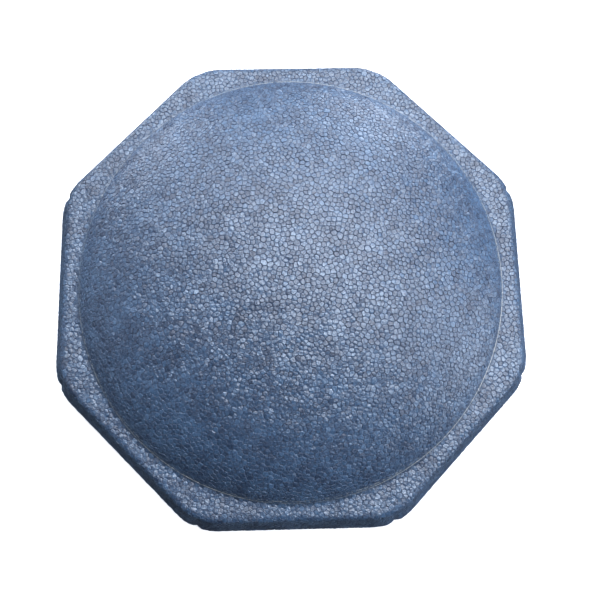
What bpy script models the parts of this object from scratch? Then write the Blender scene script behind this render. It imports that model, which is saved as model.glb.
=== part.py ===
"""Balance dome trainer: a one-piece board of moulded bead foam, standing dome up.

Metres, +Z up. The origin is the centre of the flat standing face, which rests on z = 0.
The board is an octagonal plate with leaning sides and a shallow elliptical dome on it.
Its flats face +X, +Y and the directions between them, so its corners lie at 22.5 degrees.
"""

import math

import bmesh
import bpy
from mathutils import Matrix

# Octagonal plate
SIDES = 8
ACROSS_FLATS = 0.390  # at the widest place, just above the rounded foot edge
PLATE_THICKNESS = 0.030
SIDE_LEAN = math.radians(21.5)  # from the vertical, inwards towards the top
CORNER_RADIUS = 0.048
TOP_EDGE_RADIUS = 0.005
FOOT_EDGE_RADIUS = 0.0035

# Dome: the top of an ellipsoid, with a hollow fillet between it and the plate
DOME_HALF_WIDTH = 0.1764
DOME_HALF_HEIGHT = 0.061
TOTAL_HEIGHT = 0.079
DOME_FOOT_RADIUS = 0.0035
DOME_FOOT_LAST_SLOPE = math.radians(15)  # a flatter end of the fillet would graze the plate
DOME_FOOT_DIP = 0.0006  # how far the fillet's end runs on under the plate's top
DOME_ROOT_DEPTH = 0.015  # how far the dome's solid reaches down into the plate

# Groove down the middle of each corner, deepest at the foot
GROOVE_DEPTH = 0.0022
GROOVE_WIDTH = 0.008
GROOVE_TOP_DEPTH = 0.0006  # where it runs out into the rounded top edge
GROOVE_CUTTER_LENGTH = 0.060

# Fineness
CORNER_SEGMENTS = 6
TOP_EDGE_SEGMENTS = 5
FOOT_EDGE_SEGMENTS = 3
DOME_STEPS = 96
DOME_PROFILE_POINTS = 14
FOOT_FILLET_POINTS = 6

HALF_STEP = math.pi / SIDES
# The foot edge's rounding takes this much off a sharp leaning side.
FOOT_LOSS = FOOT_EDGE_RADIUS * (math.tan(SIDE_LEAN) + 1 / math.cos(SIDE_LEAN) - 1)
SHARP_APOTHEM = ACROSS_FLATS / 2 + FOOT_LOSS


def clear_scene():
    for obj in list(bpy.data.objects):
        bpy.data.objects.remove(obj, do_unlink=True)


def new_collection(name, hidden=False):
    collection = bpy.data.collections.new(name)
    collection.hide_render = hidden
    bpy.context.scene.collection.children.link(collection)
    return collection


def foam_material():
    """Blue-grey expanded polypropylene, a dull skin with a faint sheen."""
    material = bpy.data.materials.new("blue_grey_bead_foam")
    material.use_nodes = True
    shader = material.node_tree.nodes["Principled BSDF"]
    shader.inputs["Base Color"].default_value = (0.16, 0.23, 0.36, 1.0)
    shader.inputs["Roughness"].default_value = 0.62
    shader.inputs["Metallic"].default_value = 0.0
    return material


def smooth(mesh, sharp_angle=math.radians(35)):
    mesh.shade_smooth()
    mesh.set_sharp_from_angle(angle=sharp_angle)


def plate_apothem(z):
    """Distance from the axis to a flat at height z, before the edges are rounded."""
    return SHARP_APOTHEM - z * math.tan(SIDE_LEAN)


def corner_distance(z):
    """Distance from the axis to the middle of a rounded corner at height z."""
    return (plate_apothem(z) - CORNER_RADIUS) / math.cos(HALF_STEP) + CORNER_RADIUS


def edges_at_height(mesh, z, tolerance=1e-5):
    return [
        edge
        for edge in mesh.edges
        if all(abs(vert.co.z - z) < tolerance for vert in edge.verts)
    ]


def rising_edges(mesh):
    return [edge for edge in mesh.edges if abs(edge.verts[0].co.z - edge.verts[1].co.z) > 1e-5]


def bevel(mesh, edges, width, segments):
    bmesh.ops.bevel(
        mesh,
        geom=edges,
        offset=width,
        offset_type="OFFSET",
        segments=segments,
        profile=0.5,
        affect="EDGES",
    )


def octagonal_plate(collection, material):
    """An eight-sided cone, then its corners, its foot edge and its top edge rounded."""
    lift = Matrix.Translation((0, 0, PLATE_THICKNESS / 2))
    body = bmesh.new()
    bmesh.ops.create_cone(
        body,
        cap_ends=True,
        segments=SIDES,
        radius1=plate_apothem(0) / math.cos(HALF_STEP),
        radius2=plate_apothem(PLATE_THICKNESS) / math.cos(HALF_STEP),
        depth=PLATE_THICKNESS,
        matrix=lift @ Matrix.Rotation(HALF_STEP, 4, "Z"),
    )
    bevel(body, rising_edges(body), CORNER_RADIUS * math.tan(HALF_STEP), CORNER_SEGMENTS)
    top_turn = math.pi / 2 - SIDE_LEAN
    top_width = TOP_EDGE_RADIUS * math.tan(top_turn / 2)
    bevel(body, edges_at_height(body, PLATE_THICKNESS), top_width, TOP_EDGE_SEGMENTS)
    foot_turn = math.pi / 2 + SIDE_LEAN
    foot_width = FOOT_EDGE_RADIUS * math.tan(foot_turn / 2)
    bevel(body, edges_at_height(body, 0.0), foot_width, FOOT_EDGE_SEGMENTS)
    mesh = bpy.data.meshes.new("foam_board")
    body.to_mesh(mesh)
    body.free()
    smooth(mesh)
    mesh.materials.append(material)
    plate = bpy.data.objects.new("foam_board", mesh)
    collection.objects.link(plate)
    return plate


def dome_slope(turn):
    """The ellipse's slope against the horizontal, turn being its parameter from the crown."""
    return math.atan(DOME_HALF_HEIGHT / DOME_HALF_WIDTH * math.tan(turn))


def dome_height(turn):
    return TOTAL_HEIGHT - DOME_HALF_HEIGHT * (1 - math.cos(turn))


def dome_foot_turn():
    """Where the ellipse meets its foot fillet, found by halving the range that holds it."""
    low, high = 0.0, math.pi / 2
    for _ in range(40):
        middle = (low + high) / 2
        fillet_rise = DOME_FOOT_RADIUS * (1 - math.cos(dome_slope(middle)))
        if dome_height(middle) > PLATE_THICKNESS + fillet_rise:
            low = middle
        else:
            high = middle
    return low


def dome_profile():
    """Half the dome's section as (radius, height), from the crown down the outside to the root."""
    foot_turn = dome_foot_turn()
    points = []
    for i in range(DOME_PROFILE_POINTS + 1):
        turn = foot_turn * i / DOME_PROFILE_POINTS
        points.append((DOME_HALF_WIDTH * math.sin(turn), dome_height(turn)))
    foot_radius = points[-1][0]
    steepest = dome_slope(foot_turn)
    fillet_radius = foot_radius + DOME_FOOT_RADIUS * math.sin(steepest)
    for i in range(1, FOOT_FILLET_POINTS + 1):
        slope = steepest + (DOME_FOOT_LAST_SLOPE - steepest) * i / FOOT_FILLET_POINTS
        radius = fillet_radius - DOME_FOOT_RADIUS * math.sin(slope)
        points.append((radius, PLATE_THICKNESS + DOME_FOOT_RADIUS * (1 - math.cos(slope))))
    last_radius, last_height = points[-1]
    under_plate = PLATE_THICKNESS - DOME_FOOT_DIP
    run = (last_height - under_plate) / math.tan(DOME_FOOT_LAST_SLOPE)
    points.append((last_radius + run, under_plate))
    root = PLATE_THICKNESS - DOME_ROOT_DEPTH
    points.append((foot_radius, root))
    points.append((0.0, root))
    return points


def turned_dome(collection):
    """The dome's solid, turned from its profile; the plate takes it in with a Boolean union."""
    profile = dome_profile()
    mesh = bpy.data.meshes.new("dome_solid")
    points = [(radius, 0, height) for radius, height in profile]
    mesh.from_pydata(points, [(i, i + 1) for i in range(len(points) - 1)], [])
    dome = bpy.data.objects.new("dome_solid", mesh)
    collection.objects.link(dome)
    screw = dome.modifiers.new("turn", "SCREW")
    screw.axis = "Z"
    screw.angle = 2 * math.pi
    screw.steps = DOME_STEPS
    screw.render_steps = DOME_STEPS
    screw.use_merge_vertices = True
    screw.merge_threshold = 0.00001
    screw.use_smooth_shade = True
    dome.display_type = "WIRE"
    dome.hide_render = True
    return dome


def groove_cutter(collection, index):
    """A bar of diamond section that lies along a corner, sunk to the groove's depth."""
    low_z, high_z = 0.0, PLATE_THICKNESS - TOP_EDGE_RADIUS
    low_tip = corner_distance(low_z) - GROOVE_DEPTH
    high_tip = corner_distance(high_z) - GROOVE_TOP_DEPTH
    lean = math.atan2(low_tip - high_tip, high_z - low_z)
    out = 2 * GROOVE_DEPTH  # half the diamond's diagonal across the corner
    mesh = bpy.data.meshes.new(f"groove_cutter_{index + 1}")
    bar = bmesh.new()
    bmesh.ops.create_cone(
        bar,
        cap_ends=True,
        segments=4,
        radius1=1,
        radius2=1,
        depth=GROOVE_CUTTER_LENGTH,
        matrix=Matrix.Diagonal((out, GROOVE_WIDTH, 1, 1)),
    )
    bar.to_mesh(mesh)
    bar.free()
    cutter = bpy.data.objects.new(f"groove_cutter_{index + 1}", mesh)
    collection.objects.link(cutter)
    corner = HALF_STEP + index * 2 * HALF_STEP
    middle = (low_tip + high_tip) / 2 + out / math.cos(lean)
    cutter.location = (
        middle * math.cos(corner),
        middle * math.sin(corner),
        (low_z + high_z) / 2,
    )
    cutter.rotation_euler = (0, -lean, corner)
    cutter.display_type = "WIRE"
    cutter.hide_render = True
    return cutter


def boolean(target, other, operation):
    modifier = target.modifiers.new(f"{operation.lower()}_{other.name}", "BOOLEAN")
    modifier.object = other
    modifier.operation = operation
    modifier.solver = "EXACT"


def main():
    clear_scene()
    parts = new_collection("balance_dome_trainer")
    cutters = new_collection("cutters", hidden=True)
    board = octagonal_plate(parts, foam_material())
    boolean(board, turned_dome(cutters), "UNION")
    for index in range(SIDES):
        boolean(board, groove_cutter(cutters, index), "DIFFERENCE")


main()
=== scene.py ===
"""Balance dome trainer: its skin of pressed foam beads, the studio round it and the camera.

The board is one moulding, so one piece, foam_skin, stands for the CAD's foam_board. The skin is
a closed mesh of bead facets: each bead is a raised polygon with its own tilt and tone, and
neighbours meet in a sunken joint. Fine ridges, where parts of the mould met, run round the
dome just above its foot. Their crests are painted pale, partly as a painted highlight, and the
band above them is painted grey, partly as painted sheen.
"""

import math

import bpy
import numpy as np
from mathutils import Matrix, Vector
from mathutils.geometry import delaunay_2d_cdt


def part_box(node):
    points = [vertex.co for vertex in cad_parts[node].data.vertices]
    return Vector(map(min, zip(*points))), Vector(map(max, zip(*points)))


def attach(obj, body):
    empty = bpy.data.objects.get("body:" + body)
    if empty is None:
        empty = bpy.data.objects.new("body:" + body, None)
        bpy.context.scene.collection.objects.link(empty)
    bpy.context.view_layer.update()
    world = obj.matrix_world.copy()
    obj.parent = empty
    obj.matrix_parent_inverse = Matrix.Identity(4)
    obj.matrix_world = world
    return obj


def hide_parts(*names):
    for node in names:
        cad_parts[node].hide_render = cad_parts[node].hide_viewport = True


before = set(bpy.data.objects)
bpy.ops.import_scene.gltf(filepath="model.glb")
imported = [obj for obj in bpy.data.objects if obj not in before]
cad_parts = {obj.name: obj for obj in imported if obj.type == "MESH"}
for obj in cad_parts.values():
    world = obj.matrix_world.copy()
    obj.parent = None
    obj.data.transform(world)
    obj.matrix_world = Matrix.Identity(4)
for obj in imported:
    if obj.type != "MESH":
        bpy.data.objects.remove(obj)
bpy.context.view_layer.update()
foot_corner, crown_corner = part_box("foam_board")

# Board, in metres: the same octagonal plate and elliptical dome as the CAD solid
APOTHEM = (crown_corner.x - foot_corner.x) / 2
TOTAL_HEIGHT = crown_corner.z
HALF_STEP = math.pi / 8  # from the middle of a flat to a corner
PLATE_THICKNESS = 0.030
SIDE_LEAN = math.radians(21.5)
CORNER_RADIUS = 0.048
TOP_EDGE_RADIUS = 0.005
FOOT_EDGE_RADIUS = 0.0035
DOME_HALF_WIDTH = 0.1764  # the ellipse that the dome is turned from
DOME_HALF_HEIGHT = 0.061
DOME_FOOT_RADIUS = 0.0035  # the hollow fillet between the dome and the plate
GROOVE_DEPTH = 0.0022
GROOVE_TOP_DEPTH = 0.0006
GROOVE_HALF_WIDTH = 0.0045

# Beads
BEAD_GAP = 0.0031  # the least distance between the middles of two middling beads
GAP_SPREAD = 0.33  # beads are smaller and larger than that by this share of it
CANDIDATES = 800_000  # points tried on the surface for bead middles
JOINT_HALF_WIDTH = 0.00035
JOINT_DEPTH = 0.00036
BEAD_CROWN = 0.00016  # how far a bead's middle stands proud of its rim
BEAD_LIFT = 0.00005  # how far beads stand above or below each other
BEAD_TILT = 0.052  # slope of a bead's face against the board's surface
SETTLE_SHARE = 0.45  # how far a bead's middle moves towards the middle of its own corners
LEAST_INSET, MOST_INSET = 0.12, 0.42  # of the way from a bead's corner to its middle
SHARP_ANGLE = math.radians(24)  # folds in the skin steeper than this are shaded as edges

# Mould ridge round the dome's foot
RIDGE_WIDTH = 0.0011
RIDGE_PROUD = 0.00040
RIDGE_STEP = 0.0015
RIDGE_SWAY = 0.0004  # how far from side to side the ridge wanders
RIDGE_SUNK = 0.00006  # how deep the ridge's edges lie under the surface
RIDGE_COLUMNS = 7  # points across the ridge
SIDE_RIDGES = 12
SIDE_RIDGE_WIDTH = 0.0006
SIDE_RIDGE_PROUD = 0.00014
RUBBED_SHEEN_WIDTH = 0.0050  # the band above the ridge where beads are pressed smooth and the skin is painted grey, partly as painted sheen

FLOOR_GAP = 0.0004  # keeps the beads' relief under the board clear of the floor
FLOOR_HALF = 4.0

rng = np.random.default_rng(31)


# ---------------------------------------------------------------- the board's surface


def octagon_radius(angle, apothem, corner_radius):
    """Distance from the axis to a rounded octagon's outline at an angle. A flat faces angle 0."""
    from_flat = np.abs((angle + HALF_STEP) % (2 * HALF_STEP) - HALF_STEP)
    flat = apothem / np.cos(from_flat)
    centre = (apothem - corner_radius) / math.cos(HALF_STEP)
    from_corner = HALF_STEP - from_flat
    across = np.maximum(corner_radius**2 - (centre * np.sin(from_corner)) ** 2, 0)
    arc = centre * np.cos(from_corner) + np.sqrt(across)
    on_arc = flat * np.sin(from_flat) > (apothem - corner_radius) * math.tan(HALF_STEP)
    return np.where(on_arc, arc, flat)


def dome_slope(turn):
    """The dome's slope; turn is the ellipse's parameter, measured from the crown."""
    return math.atan(DOME_HALF_HEIGHT / DOME_HALF_WIDTH * math.tan(turn))


def dome_height(turn):
    return TOTAL_HEIGHT - DOME_HALF_HEIGHT * (1 - math.cos(turn))


def dome_foot_turn():
    """Where the ellipse meets its foot fillet, found by halving the range that holds it."""
    low, high = 0.0, math.pi / 2
    for _ in range(40):
        middle = (low + high) / 2
        fillet_rise = DOME_FOOT_RADIUS * (1 - math.cos(dome_slope(middle)))
        if dome_height(middle) > PLATE_THICKNESS + fillet_rise:
            low = middle
        else:
            high = middle
    return low


def section_rows():
    """The section from the crown over the flange and the side to the middle of the underside.

    A row is (octagon share, circle radius, apothem, corner radius, scale, height). The section's
    radius is scale * (circle radius + share * (octagon radius - circle radius)).
    """
    rows = []
    lean = SIDE_LEAN
    foot_centre = APOTHEM - FOOT_EDGE_RADIUS
    wall_foot = foot_centre + FOOT_EDGE_RADIUS * math.cos(lean)
    wall_foot_z = FOOT_EDGE_RADIUS * (1 + math.sin(lean))
    wall_top_z = PLATE_THICKNESS - TOP_EDGE_RADIUS * (1 - math.sin(lean))
    wall_top = wall_foot - (wall_top_z - wall_foot_z) * math.tan(lean)
    flange_edge = wall_top - TOP_EDGE_RADIUS * math.cos(lean)
    flange_corner = CORNER_RADIUS - TOP_EDGE_RADIUS * math.cos(lean)
    foot_turn = dome_foot_turn()
    steepest = dome_slope(foot_turn)
    dome_radius = DOME_HALF_WIDTH * math.sin(foot_turn)
    flange_start = dome_radius + DOME_FOOT_RADIUS * math.sin(steepest)

    for turn in np.linspace(0, foot_turn, 400):
        radius = max(DOME_HALF_WIDTH * math.sin(turn), 1e-6)
        rows.append((0, radius, flange_edge, flange_corner, 1, dome_height(turn)))
    for slope in np.linspace(steepest, 0, 20)[1:]:
        radius = flange_start - DOME_FOOT_RADIUS * math.sin(slope)
        height = PLATE_THICKNESS + DOME_FOOT_RADIUS * (1 - math.cos(slope))
        rows.append((0, radius, flange_edge, flange_corner, 1, height))
    for share in np.linspace(0, 1, 25)[1:]:
        rows.append((share, flange_start, flange_edge, flange_corner, 1, PLATE_THICKNESS))
    for turn in np.linspace(0, math.pi / 2 - lean, 25)[1:]:
        out = TOP_EDGE_RADIUS * math.sin(turn)
        height = PLATE_THICKNESS - TOP_EDGE_RADIUS * (1 - math.cos(turn))
        rows.append((1, 0, flange_edge + out, flange_corner + out, 1, height))
    for down in np.linspace(0, 1, 40)[1:]:
        apothem = wall_top + (wall_foot - wall_top) * down
        height = wall_top_z + (wall_foot_z - wall_top_z) * down
        rows.append((1, 0, apothem, CORNER_RADIUS, 1, height))
    for turn in np.linspace(lean, -math.pi / 2, 18)[1:]:
        apothem = foot_centre + FOOT_EDGE_RADIUS * math.cos(turn)
        height = FOOT_EDGE_RADIUS * (1 + math.sin(turn))
        rows.append((1, 0, apothem, CORNER_RADIUS, 1, height))
    for scale in np.linspace(1, 0, 400)[1:]:
        rows.append((1, 0, foot_centre, CORNER_RADIUS, max(scale, 1e-5), 0))
    return np.array(rows, float).T


SHARE, CIRCLE, APOTHEMS, CORNERS, SCALE, HEIGHTS = section_rows()


def row_radius(angle, share, circle, apothem, corner, scale, height):
    """Distance from the axis, with the groove down each corner of the octagon taken out."""
    radius = circle + share * (octagon_radius(angle, apothem, corner) - circle)
    from_corner = np.abs(angle % (2 * HALF_STEP) - HALF_STEP) * radius
    up = np.clip(height / (PLATE_THICKNESS - TOP_EDGE_RADIUS), 0, 1)
    run_out = np.clip((PLATE_THICKNESS - height) / TOP_EDGE_RADIUS, 0, 1)
    depth = (GROOVE_DEPTH + (GROOVE_TOP_DEPTH - GROOVE_DEPTH) * up) * run_out
    groove = depth * np.clip(1 - from_corner / GROOVE_HALF_WIDTH, 0, 1) ** 1.3
    return scale * (radius - share * groove)


def run_of_rows():
    """How far along the section each row lies, measured through a corner, where it is longest."""
    radii = row_radius(HALF_STEP, SHARE, CIRCLE, APOTHEMS, CORNERS, SCALE, HEIGHTS)
    steps = np.hypot(np.diff(radii), np.diff(HEIGHTS))
    return np.concatenate([[0], np.cumsum(steps)])


RUN = run_of_rows()


def surface(angle, run):
    """Points of the board's surface, for angles round the axis and runs along the section."""
    columns = (SHARE, CIRCLE, APOTHEMS, CORNERS, SCALE, HEIGHTS)
    share, circle, apothem, corner, scale, height = (np.interp(run, RUN, c) for c in columns)
    radius = row_radius(angle, share, circle, apothem, corner, scale, height)
    return np.stack([radius * np.cos(angle), radius * np.sin(angle), height], -1)


def normals(angle, run):
    """Outward unit normals of the surface."""
    turn, step = 2e-4, 1e-4
    near = np.clip(run, step * 2, RUN[-1] - step * 2)
    along = surface(angle, near + step) - surface(angle, near - step)
    around = surface(angle + turn, near) - surface(angle - turn, near)
    cross = np.cross(along, around)
    return cross / np.maximum(np.linalg.norm(cross, axis=-1, keepdims=True), 1e-12)


def onto_surface(points, near_run, reach=0.006, tries=41):
    """(angle, run) of the surface point nearest to each point, searched round near_run."""
    angle = np.arctan2(points[:, 1], points[:, 0])
    best = near_run
    while reach > 1e-5:
        runs = best[:, None] + np.linspace(-reach, reach, tries)
        runs = np.clip(runs, 0, RUN[-1])
        there = surface(np.repeat(angle[:, None], tries, 1), runs)
        gaps = ((there - points[:, None]) ** 2).sum(-1)
        best = runs[np.arange(len(runs)), gaps.argmin(1)]
        reach /= tries / 4
    return angle, best


# ---------------------------------------------------------------- beads spread over it


def area_share(angle, run):
    """Area of the surface per unit of angle and run."""
    turn, step = 1e-4, 1e-5
    along = (surface(angle, run + step) - surface(angle, run - step)) / (2 * step)
    around = (surface(angle + turn, run) - surface(angle - turn, run)) / (2 * turn)
    return np.linalg.norm(np.cross(along, around), axis=-1)


def scatter():
    """(angle, run) of bead middles, evenly random, none closer than both beads' sizes allow."""
    angle = rng.uniform(-math.pi, math.pi, CANDIDATES)
    run = rng.uniform(0, RUN[-1], CANDIDATES)
    area = area_share(angle, run)
    kept = rng.random(CANDIDATES) < area / area.max()
    angle, run = angle[kept], run[kept]
    points = surface(angle, run)
    clear_of_middle = np.linalg.norm(points, axis=1) > BEAD_GAP
    angle, run, points = angle[clear_of_middle], run[clear_of_middle], points[clear_of_middle]
    halves = BEAD_GAP / 2 * rng.uniform(1 - GAP_SPREAD, 1 + GAP_SPREAD, len(points))
    boxes = np.floor(points / (BEAD_GAP * (1 + GAP_SPREAD))).astype(int).tolist()
    around = [(i, j, k) for i in (-1, 0, 1) for j in (-1, 0, 1) for k in (-1, 0, 1)]
    taken, chosen = {}, []
    tried = zip(boxes, points.tolist(), halves.tolist())
    for index, ((a, b, c), (x, y, z), half) in enumerate(tried):
        clear = True
        for i, j, k in around:
            for px, py, pz, other in taken.get((a + i, b + j, c + k), ()):
                if (px - x) ** 2 + (py - y) ** 2 + (pz - z) ** 2 < (half + other) ** 2:
                    clear = False
                    break
            if not clear:
                break
        if clear:
            taken.setdefault((a, b, c), []).append((x, y, z, half))
            chosen.append(index)
    return angle[chosen], run[chosen]


WEDGES = np.linspace(0, HALF_STEP, 25)


def stretch_table():
    """Log radius that unrolls the surface into a plane without changing small shapes.

    One column for each angle from the middle of a flat to a corner, one row for each of RUN.
    """
    columns = []
    for wedge in WEDGES:
        radii = row_radius(wedge, SHARE, CIRCLE, APOTHEMS, CORNERS, SCALE, HEIGHTS)
        steps = np.hypot(np.diff(radii), np.diff(HEIGHTS))
        change = np.diff(np.log(radii))
        sloped = np.abs(change) > 1e-4
        slope = np.where(sloped, change, 1) / np.where(sloped, np.diff(radii), 1)
        rise = steps * np.where(sloped, slope, 1 / radii[1:])
        columns.append(np.concatenate([[0], np.cumsum(rise)]) + math.log(radii[0]))
    return np.array(columns).T


STRETCH = stretch_table()


def unrolled(angle, run):
    """The surface laid out in a plane: crown in the middle, underside's middle far outside."""
    row = np.clip(np.interp(run, RUN, np.arange(len(RUN))), 0, len(RUN) - 1.001)
    from_flat = np.abs((angle + HALF_STEP) % (2 * HALF_STEP) - HALF_STEP)
    wedge = np.clip(from_flat / WEDGES[1], 0, len(WEDGES) - 1.001)
    i, j = row.astype(int), wedge.astype(int)
    u, v = row - i, wedge - j
    low = STRETCH[i, j] * (1 - v) + STRETCH[i, j + 1] * v
    high = STRETCH[i + 1, j] * (1 - v) + STRETCH[i + 1, j + 1] * v
    radius = np.exp(low * (1 - u) + high * u)
    return np.stack([radius * np.cos(angle), radius * np.sin(angle)], -1)


def triangulate(plane):
    """Delaunay triangles of the beads, closed over the outside by one more bead, the last."""
    flat = [Vector(point) for point in plane.tolist()]
    found = delaunay_2d_cdt(flat, [], [], 0, 1e-9, False)
    triangles = np.array(found[2], int)
    count = len(plane)
    starts, ends = triangles.ravel(), np.roll(triangles, -1, axis=1).ravel()
    outer = ~np.isin(ends * count + starts, starts * count + ends)
    closing = np.stack([ends[outer], starts[outer], np.full(outer.sum(), count)], 1)
    return np.concatenate([triangles, closing])


def meeting_points(triangles, points, run):
    """Where three beads meet: near the middle of the circle through them, but inside them."""
    p = points[triangles]
    sides = ((np.roll(p, -1, axis=1) - np.roll(p, -2, axis=1)) ** 2).sum(-1)
    weight = sides * (sides.sum(1, keepdims=True) - 2 * sides)
    weight /= weight.sum(1, keepdims=True)
    weight = np.clip(weight, 0.1, None)
    weight /= weight.sum(1, keepdims=True)
    middle = (p * weight[..., None]).sum(1)
    return onto_surface(middle, (run[triangles] * weight).sum(1))


def rings(triangles, plane):
    """(bead, triangle) of every bead's corners in turn, and the place of the next one round."""
    count = len(plane)
    known = np.concatenate([plane, np.zeros((1, 2))])
    middle = known[triangles].mean(1)
    closing = triangles[:, 2] == count
    edge_middle = known[triangles[closing, :2]].mean(1)
    middle[closing] = edge_middle * 1.5
    bead = triangles.ravel()
    triangle = np.repeat(np.arange(len(triangles)), 3)
    arm = middle[triangle] - known[bead]
    turn = np.arctan2(arm[:, 1], arm[:, 0])
    turn[bead == count] *= -1
    order = np.lexsort((turn, bead))
    bead, triangle = bead[order], triangle[order]
    following = np.arange(len(bead)) + 1
    last = np.flatnonzero(np.append(bead[1:] != bead[:-1], True))
    first = np.concatenate([[0], last[:-1] + 1])
    following[last] = first
    return bead, triangle, following


# ---------------------------------------------------------------- the skin's mesh


def wander(angle, waves, seed):
    """A smooth random curve round the axis, from 0 to 1."""
    own = np.random.default_rng(seed)
    total = sum(
        own.normal() * np.sin(k * angle + own.uniform(0, 2 * math.pi)) / math.sqrt(k)
        for k in range(1, waves + 1)
    )
    return 0.5 + 0.5 * np.tanh(total * 0.8)


FLANGE_ROW = int(np.flatnonzero(SHARE > 0)[0]) - 1
RIDGE_RUN = float(np.interp(dome_foot_turn(), np.linspace(0, dome_foot_turn(), 400), RUN[:400]))
FLANGE_RUN = float(RUN[FLANGE_ROW])
FOOT_RUN = float(RUN[np.flatnonzero(HEIGHTS == 0)[0]])


def rubbed_and_sheen(run):
    """How far the beads are pressed smooth and painted grey, partly as painted sheen: fully at the
    ridge and below it, fading up the dome.
    """
    above = np.clip(1 - (RIDGE_RUN - run) / RUBBED_SHEEN_WIDTH, 0, 1)
    below = np.clip((FLANGE_RUN - run) / 0.002, 0, 1)
    return above**1.5 * below


def relief(run):
    """How strongly the beads stand out: most on the dome, least where they are rubbed."""
    on_flange = np.clip((run - FLANGE_RUN) / 0.003, 0, 1)
    under = np.clip((run - FOOT_RUN) / 0.004, 0, 1)
    return (1 - 0.25 * on_flange - 0.25 * under) * (1 - 0.45 * rubbed_and_sheen(run))


def bead_skin():
    """Points, faces and attributes of the whole skin of beads."""
    angle, run = scatter()
    plane = unrolled(angle, run)
    triangles = triangulate(plane)
    all_angle = np.append(angle, 0.0)
    all_run = np.append(run, RUN[-1] - 1e-4)
    points = surface(all_angle, all_run)
    corner_angle, corner_run = meeting_points(triangles, points, all_run)
    bead, triangle, following = rings(triangles, plane)
    corner = surface(corner_angle, corner_run)[triangle]
    share = np.bincount(bead, minlength=len(points))[:, None]
    total = np.stack([np.bincount(bead, corner[:, i]) for i in range(3)], -1)
    settled = points * (1 - SETTLE_SHARE) + total / share * SETTLE_SHARE
    angle, run = onto_surface(settled[:-1], run)

    plane = unrolled(angle, run)
    triangles = triangulate(plane)
    angle, run = np.append(angle, 0.0), np.append(run, RUN[-1] - 1e-4)
    middles = surface(angle, run)
    corner_angle, corner_run = meeting_points(triangles, middles, run)
    corners = surface(corner_angle, corner_run)
    bead, triangle, following = rings(triangles, plane)

    count = len(middles)
    strength = relief(run)
    up = normals(angle, run)
    lift = rng.normal(0, BEAD_LIFT, count) * strength
    crown = BEAD_CROWN * rng.uniform(0.4, 1.6, count) * strength
    tilt = rng.normal(0, BEAD_TILT, (count, 3)) * strength[:, None]

    arm = middles[bead] - corners[triangle]
    length = np.linalg.norm(arm, axis=1)
    joint = JOINT_HALF_WIDTH * rng.uniform(0.8, 1.25, count)[bead]
    inward = np.clip(joint / length, LEAST_INSET, MOST_INSET)[:, None]
    rim_near = corners[triangle] + arm * inward
    rim_angle, rim_run = onto_surface(rim_near, corner_run[triangle], reach=0.003)
    rim = surface(rim_angle, rim_run)
    rim_up = normals(rim_angle, rim_run)
    leaning = ((rim - middles[bead]) * tilt[bead]).sum(1)
    rim = rim + rim_up * (lift[bead] + leaning)[:, None]

    depth = JOINT_DEPTH * rng.uniform(0.55, 1.45, len(corners)) * relief(corner_run)
    sunk = corners - normals(corner_angle, corner_run) * depth[:, None]
    proud = middles + up * (lift + crown)[:, None]

    points = np.concatenate([sunk, proud, rim])
    middle_at = len(sunk) + bead
    rim_at = len(sunk) + count + np.arange(len(bead))
    fans = np.stack([middle_at, rim_at, rim_at[following]], 1)
    joints = np.stack([rim_at, triangle, triangle[following], rim_at[following]], 1)

    tone = rng.normal(0, 1, count)
    return {
        "points": points,
        "faces": fans.tolist() + joints.tolist(),
        "bead_tone": np.concatenate([tone[bead], tone[bead]]),
        "joint": np.concatenate([np.ones(len(sunk)), np.zeros(count + len(rim))]),
        "rubbed_and_sheen": rubbed_and_sheen(np.concatenate([corner_run, run, rim_run])),
    }


def ridge(start, end, off, width, proud, seed):
    """A fine ridge along the dome's foot, from start to end round the axis, off above RIDGE_RUN."""
    closed = end - start > 6.28
    steps = int((end - start) * DOME_HALF_WIDTH / RIDGE_STEP)
    angle = np.linspace(start, end, steps, endpoint=not closed)
    strength = 0.35 + 0.65 * wander(angle, 9, seed)
    if not closed:
        strength = strength * np.sin(np.linspace(0, math.pi, steps)) ** 0.4
    sway = (wander(angle, 14, seed + 1) - 0.5) * RIDGE_SWAY
    across = np.linspace(-1, 1, RIDGE_COLUMNS)
    runs = RIDGE_RUN - off + sway[:, None] + across * width / 2
    angles = np.repeat(angle[:, None], len(across), 1)
    height = (1 - across**2) * proud * strength[:, None] - RIDGE_SUNK
    points = surface(angles, runs) + normals(angles, runs) * height[..., None]
    faces = []
    rounds = steps if closed else steps - 1
    for i in range(rounds):
        here, there = i * RIDGE_COLUMNS, (i + 1) % steps * RIDGE_COLUMNS
        for j in range(RIDGE_COLUMNS - 1):
            faces.append([here + j, here + j + 1, there + j + 1, there + j])
    return points.reshape(-1, 3), faces, np.repeat(strength, RIDGE_COLUMNS)


def ridges():
    """The ridge all round, and short fainter ones beside it."""
    made = [ridge(0, 2 * math.pi, 0, RIDGE_WIDTH, RIDGE_PROUD, 5)]
    for seed in range(SIDE_RIDGES):
        start = rng.uniform(0, 2 * math.pi)
        length = rng.uniform(0.25, 0.9)
        off = rng.uniform(0.0011, 0.0042)
        width, proud = SIDE_RIDGE_WIDTH, SIDE_RIDGE_PROUD
        made.append(ridge(start, start + length, off, width, proud, 20 + seed))
    return made


def add_attribute(mesh, name, domain, values):
    attribute = mesh.attributes.new(name, "FLOAT", domain)
    attribute.data.foreach_set("value", np.asarray(values, np.float32))


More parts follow.
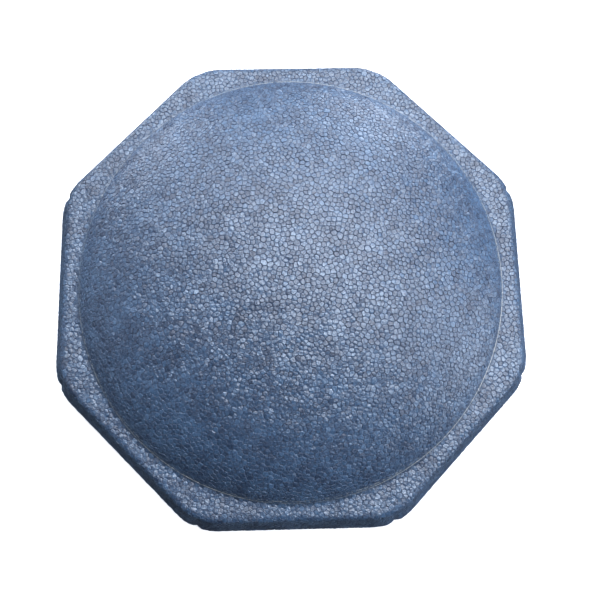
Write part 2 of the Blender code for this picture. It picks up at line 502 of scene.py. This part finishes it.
def build_skin():
    skin = bead_skin()
    points, faces = [skin["points"]], list(skin["faces"])
    point_count = len(skin["points"])
    tone, joint, rub_and_sheen = [skin["bead_tone"]], [skin["joint"]], [skin["rubbed_and_sheen"]]
    # Pale crest colour for the ridges, partly a painted highlight; none on the beads.
    crest_pale_and_highlight = [np.zeros(point_count)]
    for ridge_points, ridge_faces, strength in ridges():
        faces += [[v + point_count for v in face] for face in ridge_faces]
        point_count += len(ridge_points)
        points.append(ridge_points)
        tone.append(np.zeros(len(ridge_faces)))
        joint.append(np.zeros(len(ridge_points)))
        rub_and_sheen.append(np.ones(len(ridge_points)))
        crest_pale_and_highlight.append(strength)
    mesh = bpy.data.meshes.new("foam_skin")
    mesh.from_pydata(np.concatenate(points).tolist(), [], faces)
    add_attribute(mesh, "bead_tone", "FACE", np.concatenate(tone))
    add_attribute(mesh, "joint", "POINT", np.concatenate(joint))
    add_attribute(mesh, "rubbed_and_sheen", "POINT", np.concatenate(rub_and_sheen))
    add_attribute(mesh, "crest_pale_and_highlight", "POINT", np.concatenate(crest_pale_and_highlight))
    mesh.shade_smooth()
    mesh.set_sharp_from_angle(angle=SHARP_ANGLE)
    skin_object = bpy.data.objects.new("foam_skin", mesh)
    bpy.context.scene.collection.objects.link(skin_object)
    return skin_object


# ---------------------------------------------------------------- materials


class Nodes:
    """Short calls for the nodes of one material."""

    def __init__(self, name):
        self.material = bpy.data.materials.new(name)
        self.material.use_nodes = True
        self.tree = self.material.node_tree
        self.shader = self.tree.nodes["Principled BSDF"]

    def add(self, kind, **inputs):
        node = self.tree.nodes.new(kind)
        for name, value in inputs.items():
            self.feed(node.inputs[name.replace("_", " ")], value)
        return node

    def feed(self, socket, value):
        if isinstance(value, bpy.types.NodeSocket):
            self.tree.links.new(value, socket)
        else:
            socket.default_value = value

    def attribute(self, name):
        node = self.add("ShaderNodeAttribute")
        node.attribute_name = name
        return node.outputs["Fac"]

    def math(self, operation, first, second=0.0, clamp=False):
        node = self.tree.nodes.new("ShaderNodeMath")
        node.operation = operation
        node.use_clamp = clamp
        self.feed(node.inputs[0], first)
        self.feed(node.inputs[1], second)
        return node.outputs[0]

    def mix(self, factor, first, second, blend="MIX"):
        node = self.tree.nodes.new("ShaderNodeMix")
        node.data_type = "RGBA"
        node.blend_type = blend
        self.feed(node.inputs["Factor"], factor)
        self.feed(node.inputs["A"], first)
        self.feed(node.inputs["B"], second)
        return node.outputs["Result"]

    def mapped(self, value, low, high, to_low, to_high):
        node = self.add("ShaderNodeMapRange", Value=value)
        node.inputs["From Min"].default_value = low
        node.inputs["From Max"].default_value = high
        node.inputs["To Min"].default_value = to_low
        node.inputs["To Max"].default_value = to_high
        return node.outputs["Result"]

    def noise(self, vector, scale, detail=2.0, roughness=0.5):
        node = self.add("ShaderNodeTexNoise", Vector=vector, Scale=scale, Detail=detail)
        node.inputs["Roughness"].default_value = roughness
        return node.outputs["Fac"]


def rgb(red, green, blue):
    return (red, green, blue, 1.0)


def foam_material():
    """Pressed beads: blue-grey faces of uneven tone, dark joints, a grey band above the ridge that
    is partly pressed-smooth skin and partly painted sheen, and ridge crests painted pale, partly as
    a painted highlight.
    """
    nodes = Nodes("blue_grey_bead_foam")
    place = nodes.add("ShaderNodeTexCoord").outputs["Object"]

    patches = nodes.noise(place, 55.0, 3.0)
    clouds = nodes.noise(place, 14.0, 2.0)
    grain = nodes.noise(place, 650.0, 3.0, 0.75)
    tone = nodes.mapped(nodes.attribute("bead_tone"), -3.2, 3.2, 0.0, 1.0)
    tone = nodes.math("ADD", tone, nodes.mapped(patches, 0.3, 0.7, -0.16, 0.16))
    tone = nodes.math("ADD", tone, nodes.mapped(clouds, 0.3, 0.7, -0.12, 0.12))
    tone = nodes.math("ADD", tone, nodes.mapped(grain, 0.3, 0.7, -0.60, 0.60), clamp=True)
    face = nodes.mix(tone, rgb(0.016, 0.053, 0.138), rgb(0.106, 0.210, 0.384))

    breaks = nodes.noise(place, 260.0, 2.0)
    joint = nodes.math("POWER", nodes.attribute("joint"), 0.9)
    depth = nodes.math("MULTIPLY", joint, nodes.mapped(breaks, 0.35, 0.65, 1.0, 0.35))
    beads = nodes.mix(depth, face, rgb(0.020, 0.046, 0.100))

    # The grey band above the ridge, mixed in by the rubbed mask: partly pressed-smooth skin, partly
    # painted sheen.
    split = nodes.add("ShaderNodeSeparateXYZ", Vector=place)
    around = nodes.math("ARCTAN2", split.outputs["Y"], split.outputs["X"])
    flat = nodes.add("ShaderNodeCombineXYZ", X=split.outputs["X"], Y=split.outputs["Y"])
    reach = nodes.add("ShaderNodeVectorMath", Vector=flat.outputs["Vector"])
    reach.operation = "LENGTH"
    drawn = nodes.add(
        "ShaderNodeCombineXYZ",
        X=nodes.math("MULTIPLY", around, 0.02),
        Y=reach.outputs["Value"],
        Z=split.outputs["Z"],
    )
    streaks = nodes.noise(drawn.outputs["Vector"], 1700.0, 3.0, 0.65)
    band_tone = nodes.mapped(streaks, 0.35, 0.65, 0.0, 1.0)
    band = nodes.mix(band_tone, rgb(0.070, 0.110, 0.180), rgb(0.180, 0.230, 0.310))
    rubbed_sheen_share = nodes.math("MULTIPLY", nodes.attribute("rubbed_and_sheen"), 0.35)
    surface_colour = nodes.mix(rubbed_sheen_share, beads, band)
    # Ridge crests painted pale grey: partly the ridge's own paler skin, partly a painted highlight.
    crest_pale_and_highlight = nodes.math("MULTIPLY", nodes.attribute("crest_pale_and_highlight"), 0.85)
    colour = nodes.mix(crest_pale_and_highlight, surface_colour, rgb(0.480, 0.520, 0.560))
    nodes.feed(nodes.shader.inputs["Base Color"], colour)

    dull = nodes.mapped(tone, 0.0, 1.0, 0.56, 0.42)
    dull = nodes.math("ADD", dull, nodes.math("MULTIPLY", joint, 0.5))
    nodes.feed(nodes.shader.inputs["Roughness"], nodes.math("ADD", dull, 0.0, clamp=True))
    nodes.shader.inputs["IOR"].default_value = 1.85
    nodes.shader.inputs["Specular IOR Level"].default_value = 1.0

    bump = nodes.add("ShaderNodeBump", Height=nodes.noise(place, 480.0, 1.0, 0.5))
    bump.inputs["Strength"].default_value = 0.9
    bump.inputs["Distance"].default_value = 0.0008
    nodes.feed(nodes.shader.inputs["Normal"], bump.outputs["Normal"])
    return nodes.material


def floor_material():
    """White and faintly glowing, like a lit sweep of paper."""
    nodes = Nodes("pale_floor")
    place = nodes.add("ShaderNodeTexCoord").outputs["Object"]
    mottle = nodes.noise(place, 3.0, 4.0)
    colour = nodes.mix(mottle, rgb(0.90, 0.90, 0.90), rgb(0.94, 0.94, 0.94))
    nodes.feed(nodes.shader.inputs["Base Color"], colour)
    nodes.shader.inputs["Roughness"].default_value = 0.85
    nodes.shader.inputs["Specular IOR Level"].default_value = 0.2
    nodes.shader.inputs["Emission Color"].default_value = rgb(0.92, 0.96, 1.0)
    nodes.shader.inputs["Emission Strength"].default_value = 0.7
    return nodes.material


# ---------------------------------------------------------------- stage, light and camera


def build_floor():
    """A bright floor; it is left out of reflections so that the board's sides stay blue."""
    half = FLOOR_HALF
    mesh = bpy.data.meshes.new("floor")
    edge = [(-half, -half, 0), (half, -half, 0), (half, half, 0), (-half, half, 0)]
    mesh.from_pydata(edge, [], [(0, 1, 2, 3)])
    mesh.materials.append(floor_material())
    floor = bpy.data.objects.new("floor", mesh)
    floor.location.z = -FLOOR_GAP
    floor.visible_glossy = False
    bpy.context.scene.collection.objects.link(floor)


def softbox(name, place, width, height, watts, target=(0, 0, 0.03)):
    light = bpy.data.lights.new(name, "AREA")
    light.shape = "RECTANGLE"
    light.size = width
    light.size_y = height
    light.energy = watts
    lamp = bpy.data.objects.new(name, light)
    lamp.location = place
    lamp.rotation_euler = (Vector(target) - Vector(place)).to_track_quat("-Z", "Y").to_euler()
    lamp.visible_camera = False
    bpy.context.scene.collection.objects.link(lamp)


def build_light():
    """Six softboxes, and a pale backdrop that only the camera sees."""
    world = bpy.data.worlds.new("studio")
    bpy.context.scene.world = world
    world.use_nodes = True
    background = world.node_tree.nodes["Background"]
    background.inputs["Color"].default_value = rgb(0.96, 0.98, 1.0)
    background.inputs["Strength"].default_value = 1.0
    world.cycles_visibility.diffuse = False
    world.cycles_visibility.glossy = False
    softbox("overhead", (0.66, 0.10, 1.44), 1.0, 1.0, 14.5)
    softbox("upper", (-0.15, 0.62, 1.40), 1.3, 0.9, 16)
    softbox("right", (1.42, -0.42, 0.42), 0.9, 0.7, 9)
    softbox("left", (-1.45, -0.10, 0.45), 0.9, 0.7, 1.5)
    softbox("back right", (0.65, 1.33, 0.28), 0.9, 0.5, 11.5)
    softbox("back left", (-0.95, 1.16, 0.28), 0.9, 0.5, 10)
    view = bpy.context.scene.view_settings
    view.view_transform = "Standard"
    view.gamma = 0.8


def build_camera():
    """The photo's viewpoint: above the board, a little towards -Y, over a long-side sensor."""
    lens = bpy.data.cameras.new("camera")
    lens.sensor_width = 36
    lens.lens = 48
    lens.shift_y = -0.1417
    camera = bpy.data.objects.new("camera", lens)
    camera.location = (-0.0056, -0.0908, 0.6781)
    camera.rotation_euler = [math.radians(turn) for turn in (12.684, -0.948, -1.264)]
    bpy.context.scene.collection.objects.link(camera)
    bpy.context.scene.camera = camera


skin = build_skin()
skin.data.materials.append(foam_material())
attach(skin, "root")
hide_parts("foam_board")
build_floor()
build_light()
build_camera()
